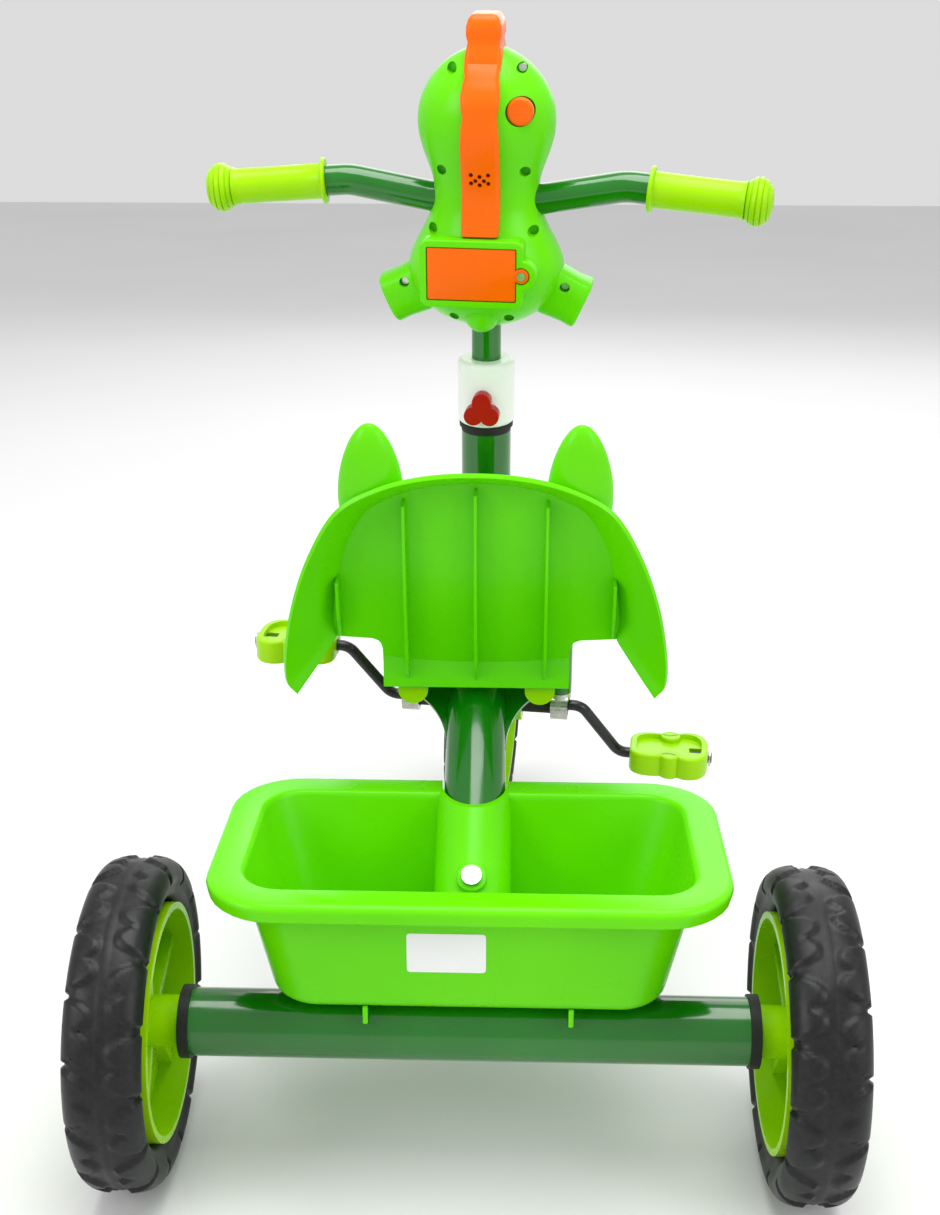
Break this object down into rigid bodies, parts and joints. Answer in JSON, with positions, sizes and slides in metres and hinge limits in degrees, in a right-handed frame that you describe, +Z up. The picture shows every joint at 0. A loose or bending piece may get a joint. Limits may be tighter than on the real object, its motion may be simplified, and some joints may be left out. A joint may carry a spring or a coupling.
{
  "type": "children's tricycle",
  "caption": "Small pedal tricycle with tube frame, moulded seat and rear basket, front-wheel cranks and a toy figure on the handlebar.",
  "frame": {"origin": "on the floor under the middle of the tricycle's length and width", "axes": "+Y forward, +X to the rider's right, +Z up"},
  "size_m": [0.429, 0.6602, 0.6549],
  "materials": {
    "tyre": "satin foam",
    "green_paint": "gloss",
    "lime_plastic": "semi-gloss",
    "yellow_green_plastic": "semi-gloss",
    "orange_plastic": "semi-gloss",
    "black_plastic": "matt",
    "white_plastic": "semi-gloss",
    "red_plastic": "semi-gloss",
    "black_steel": "gloss",
    "zinc_steel": "plated",
    "cell_jacket": "gloss",
    "circuit_green": "satin",
    "speaker_black": "matt"
  },
  "bodies": {
    "frame": {"main_tube": "green_paint", "rear_axle_tube": "green_paint", "head_tube": "green_paint", "gusset_plates": "green_paint", "front_straps": "green_paint", "right_seat_rail": "green_paint", "left_seat_rail": "green_paint", "rail_plugs": "yellow_green_plastic", "lower_head_bush": "black_plastic", "upper_head_bush": "black_plastic", "rear_axle_rod": "zinc_steel", "rear_axle_bushes": "black_plastic", "rear_axle_washers": "zinc_steel", "rear_axle_nuts": "zinc_steel", "seat": "lime_plastic", "seat_screws": "zinc_steel", "basket": "lime_plastic", "basket_screw": "zinc_steel"},
    "right_rear_wheel": {"right_rear_tyre": "tyre", "right_rear_hub": "yellow_green_plastic", "right_rear_hub_cap": "yellow_green_plastic"},
    "left_rear_wheel": {"left_rear_tyre": "tyre", "left_rear_hub": "yellow_green_plastic", "left_rear_hub_cap": "yellow_green_plastic"},
    "fork": {"fork_tube": "green_paint", "steerer_tube": "green_paint", "crown_race": "black_steel", "fork_ends": "zinc_steel", "crank_bushes": "black_plastic", "head_seal": "black_plastic", "clamp_collar": "white_plastic"},
    "clamp": {"clamp_knob": "red_plastic", "clamp_bolt": "zinc_steel"},
    "handlebar": {"handlebar": "green_paint", "stem": "green_paint", "right_grip": "yellow_green_plastic", "left_grip": "yellow_green_plastic", "figure_rear_shell": "lime_plastic", "figure_front_shell": "lime_plastic", "crest": "orange_plastic", "battery_tray": "black_plastic", "battery_cells": "cell_jacket", "figure_screws": "zinc_steel", "circuit_board": "circuit_green", "speaker": "speaker_black"},
    "battery_door": {"battery_door": "orange_plastic", "door_screw": "zinc_steel"},
    "music_button": {"music_button": "orange_plastic"},
    "front_wheel": {"front_tyre": "tyre", "front_hub": "yellow_green_plastic", "crank_rod": "black_steel", "crank_spacers": "black_plastic", "pedal_retainers": "zinc_steel"},
    "left_pedal": {"left_pedal": "lime_plastic"},
    "right_pedal": {"right_pedal": "lime_plastic"}
  },
  "joints": [
    {"name": "right_rear_wheel_turn", "type": "hinge", "parent": "frame", "child": "right_rear_wheel", "pos_m": [0.193, -0.235, 0.095], "axis": [1, 0, 0], "continuous": true},
    {"name": "left_rear_wheel_turn", "type": "hinge", "parent": "frame", "child": "left_rear_wheel", "pos_m": [-0.193, -0.235, 0.095], "axis": [1, 0, 0], "continuous": true},
    {"name": "steering", "type": "hinge", "parent": "frame", "child": "fork", "pos_m": [0, 0.215, 0.115], "axis": [0, -0.1305, 0.9914], "range_deg": [-39, 51]},
    {"name": "clamp_knob_turn", "type": "hinge", "parent": "fork", "child": "clamp", "pos_m": [-0.00314, 0.15103, 0.37235], "axis": [-0.1045, -0.986, -0.1298], "range_deg": [-180, 180]},
    {"name": "handlebar_height", "type": "slide", "parent": "fork", "child": "handlebar", "axis": [0, -0.1305, 0.9914], "range_m": [0, 0.03]},
    {"name": "battery_door_open", "type": "hinge", "parent": "handlebar", "child": "battery_door", "pos_m": [-0.04189, 0.12228, 0.478], "axis": [0, 0.1305, -0.9914], "range_deg": [0, 75]},
    {"name": "music_button_press", "type": "slide", "parent": "handlebar", "child": "music_button", "axis": [0.1045, 0.986, 0.1298], "range_m": [0, 0.002], "stiffness_N_per_m": 400},
    {"name": "front_wheel_turn", "type": "hinge", "parent": "fork", "child": "front_wheel", "pos_m": [0, 0.215, 0.115], "axis": [0.9945, -0.1036, -0.0136], "continuous": true},
    {"name": "left_pedal_turn", "type": "hinge", "parent": "front_wheel", "child": "left_pedal", "pos_m": [-0.15445, 0.21233, 0.16456], "axis": [0.9945, -0.1036, -0.0136], "continuous": true},
    {"name": "right_pedal_turn", "type": "hinge", "parent": "front_wheel", "child": "right_pedal", "pos_m": [0.15445, 0.21766, 0.06544], "axis": [0.9945, -0.1036, -0.0136], "continuous": true}
  ]
}
